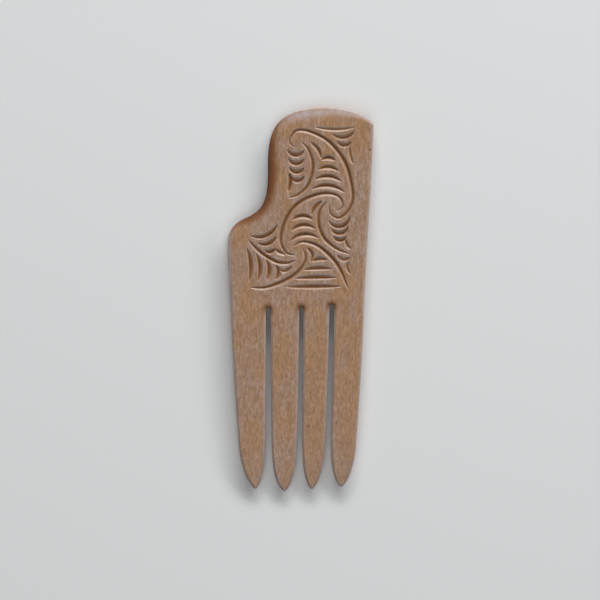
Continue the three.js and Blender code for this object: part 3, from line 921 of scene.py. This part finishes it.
def tint(tree, colour, where, strength, paint):
    """The colour with a paint over it, as thick as where says, from 0 to 1, times the strength."""
    return blend_colours(tree, calc(tree, "MULTIPLY", where, strength), colour, paint)


def ramp(tree, value, low, high, power=1.0):
    """A value spread from 0 at low to 1 at high, and eased."""
    spread = add_node(tree, "ShaderNodeMapRange", {
        "Value": value, "From Min": low, "From Max": high}, clamp=True)
    return calc(tree, "POWER", spread.outputs[0], power)


def cloud(tree, place, stretch, detail=3.0, roughness=0.55):
    """Noise whose patches are stretched along the comb: stretch holds patches per metre each way."""
    mapping = add_node(tree, "ShaderNodeMapping", {"Vector": place, "Scale": stretch})
    patches = add_node(tree, "ShaderNodeTexNoise", {
        "Vector": mapping.outputs[0], "Scale": 1.0, "Detail": detail, "Roughness": roughness})
    return patches.outputs["Fac"]


def point_value(tree, label):
    """A value that the mesh holds for each of its points."""
    return add_node(tree, "ShaderNodeAttribute", attribute_name=label).outputs["Fac"]


def build_bone():
    """The material of the comb."""
    material = bpy.data.materials.new("polished_bone")
    material.use_nodes = True
    tree = material.node_tree
    shader = tree.nodes["Principled BSDF"]
    shader.inputs["Specular IOR Level"].default_value = BONE_SPECULAR
    place = add_node(tree, "ShaderNodeTexCoord").outputs["Object"]
    cut = point_value(tree, "cut")
    from_edge = point_value(tree, "from_edge")
    wear = point_value(tree, "wear")
    stain = point_value(tree, "stain")
    mark = point_value(tree, "mark")

    clouds = cloud(tree, place, (160, 70, 160))
    streaks = cloud(tree, place, (1200, 260, 1200), detail=4.0, roughness=0.7)
    fibres = cloud(tree, place, (1900, 600, 1900), detail=3.0, roughness=0.8)
    blotches = cloud(tree, place, (700, 420, 700), detail=4.0, roughness=0.65)

    pore_place = add_node(tree, "ShaderNodeMapping", {"Vector": place, "Scale": (1400, 420, 1400)})
    pore_cells = add_node(tree, "ShaderNodeTexVoronoi", {"Vector": pore_place.outputs[0], "Scale": 1.0})
    pore_chance = add_node(tree, "ShaderNodeSeparateColor", {0: pore_cells.outputs["Color"]}).outputs[0]
    pore = calc(tree, "MULTIPLY", ramp(tree, pore_cells.outputs["Distance"], 0.28, 0.1),
                calc(tree, "GREATER_THAN", pore_chance, RARE_PORE))

    # Plain bone: cloudy, streaked and porous, warmer towards the teeth and on the crest, and pale where it
    # is rubbed, partly a painted sheen on the edges.
    # Pale rubbed edges and tips: rubbed bone and a painted sheen.
    worn_and_sheen = calc(tree, "MULTIPLY", ramp(tree, wear, 0, 0.6), ramp(tree, blotches, 0.1, 0.6))
    worn_and_sheen = calc(tree, "MULTIPLY", worn_and_sheen, ramp(tree, stain, 0.5, 0.15))
    along = add_node(tree, "ShaderNodeSeparateXYZ", {0: place}).outputs["Y"]
    on_teeth = ramp(tree, along, 12 * MM, -18 * MM)
    on_crest = ramp(tree, along, 46 * MM, 55 * MM)
    # Warmer towards the teeth and on the crest, by position.
    warmer_region = calc(tree, "MAXIMUM", on_teeth, on_crest)
    warm = calc(tree, "ADD", clouds, calc(tree, "MULTIPLY", warmer_region, 0.11))
    colour = blend_colours(tree, ramp(tree, warm, 0.47, 0.64), BONE_PALE, BONE_WARM)
    colour = tint(tree, colour, ramp(tree, streaks, 0.38, 0.62), 0.6, GRAIN_BROWN)
    colour = tint(tree, colour, ramp(tree, fibres, 0.4, 0.62), 0.8, GRAIN_BROWN)
    colour = tint(tree, colour, pore, 0.45, PATINA_AND_SHADE_BROWN)
    colour = tint(tree, colour, worn_and_sheen, 0.8, BONE_WORN_AND_SHEEN)

    # The cuts: pale lips, partly rubbed bone and partly a painted highlight, and brown that thickens
    # towards the bottom, partly old polish and partly painted shade.
    # Pale band at the rim of every cut: rubbed bone and a painted highlight.
    in_cut = ramp(tree, cut, 0.01 * MM, 0.04 * MM)
    near_rim = ramp(tree, cut, 0.12 * MM, 0.05 * MM)
    colour = tint(tree, colour, calc(tree, "MULTIPLY", in_cut, near_rim), 0.75, BONE_WORN_AND_SHEEN)
    # Warm brown down the cuts' walls: old polish and painted shade.
    colour = tint(tree, colour, ramp(tree, cut, 0.05 * MM, 0.25 * MM), 0.7, PATINA_AND_SHADE_TAN)
    # Near-black brown towards the cuts' bottoms: old polish and dirt, and painted shade.
    deep = ramp(tree, cut, 0.12 * MM, 0.7 * MM, 1.2)
    patina_and_shade = calc(tree, "MULTIPLY", deep, ramp(tree, blotches, -0.1, 0.6))
    colour = tint(tree, colour, patina_and_shade, 0.95, PATINA_AND_SHADE_BROWN)

    # Stain that has soaked in from the edge, and almost black along it, partly stain and partly painted
    # shade, and dirt in the pits and ripples.
    reach = calc(tree, "MULTIPLY", stain, STAIN_REACH)
    near = calc(tree, "SUBTRACT", 1, calc(tree, "DIVIDE", from_edge, reach))
    soaked = calc(tree, "MULTIPLY", ramp(tree, near, 0, 0.55), ramp(tree, blotches, 0.05, 0.5, 0.5))
    soaked = calc(tree, "MULTIPLY", soaked, ramp(tree, stain, 0.05, 0.7))
    colour = tint(tree, colour, soaked, 0.97, STAIN_BROWN)
    # Near-black along the stained edges: stain and painted shade.
    stain_and_shade_edge = calc(tree, "MULTIPLY", ramp(tree, near, 0.55, 0.95), ramp(tree, stain, 0.35, 1.0))
    colour = tint(tree, colour, stain_and_shade_edge, 0.95, STAIN_AND_SHADE_DARK)
    colour = tint(tree, colour, ramp(tree, mark, 0.01 * MM, 0.14 * MM), 0.55, PATINA_AND_SHADE_BROWN)
    tree.links.new(colour, shader.inputs["Base Color"])

    # The sheen: patchy, duller on the stain and brighter where it is rubbed.
    dull = calc(tree, "ADD", calc(tree, "MULTIPLY", ramp(tree, blotches, 0.3, 0.7), 0.12),
                calc(tree, "MULTIPLY", soaked, 0.3))
    rough = calc(tree, "ADD", dull, POLISH_ROUGHNESS)
    rough = calc(tree, "SUBTRACT", rough, calc(tree, "MULTIPLY", worn_and_sheen, 0.06))
    tree.links.new(rough, shader.inputs["Roughness"])

    # The relief under the fingers: fibres, unevenness and open pores.
    relief = calc(tree, "ADD", calc(tree, "MULTIPLY", fibres, 0.35), calc(tree, "MULTIPLY", blotches, 0.5))
    relief = calc(tree, "SUBTRACT", relief, pore)
    bump = add_node(tree, "ShaderNodeBump", {"Height": relief, "Strength": 0.4, "Distance": 0.03 * MM})
    tree.links.new(bump.outputs[0], shader.inputs["Normal"])
    return material


# ======================================================================================================
# The comb
# One closed piece of bone, sawn, filed, carved and polished, with the head and its four teeth together.
# Nothing is set into it or fixed to it, and it lies on its plain back.
# ======================================================================================================

cuts = all_cuts()
cuts_object = joined(cuts)
finished = grow(comb_blank([line for cut in cuts for line in bottom_lines(cut)]), build_carve(),
                {"Cuts": cuts_object, "Reach": LOOK_DEPTH, "Material": build_bone()})
bpy.data.objects.remove(cuts_object)
finished.polygons.foreach_set("use_smooth", [True] * len(finished.polygons))
finished.set_sharp_from_angle(angle=math.radians(50))
comb = bpy.data.objects.new("bone_comb", finished)
bpy.context.collection.objects.link(comb)
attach(comb, "root")
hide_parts("carved_head", "tooth_1", "tooth_2", "tooth_3", "tooth_4")
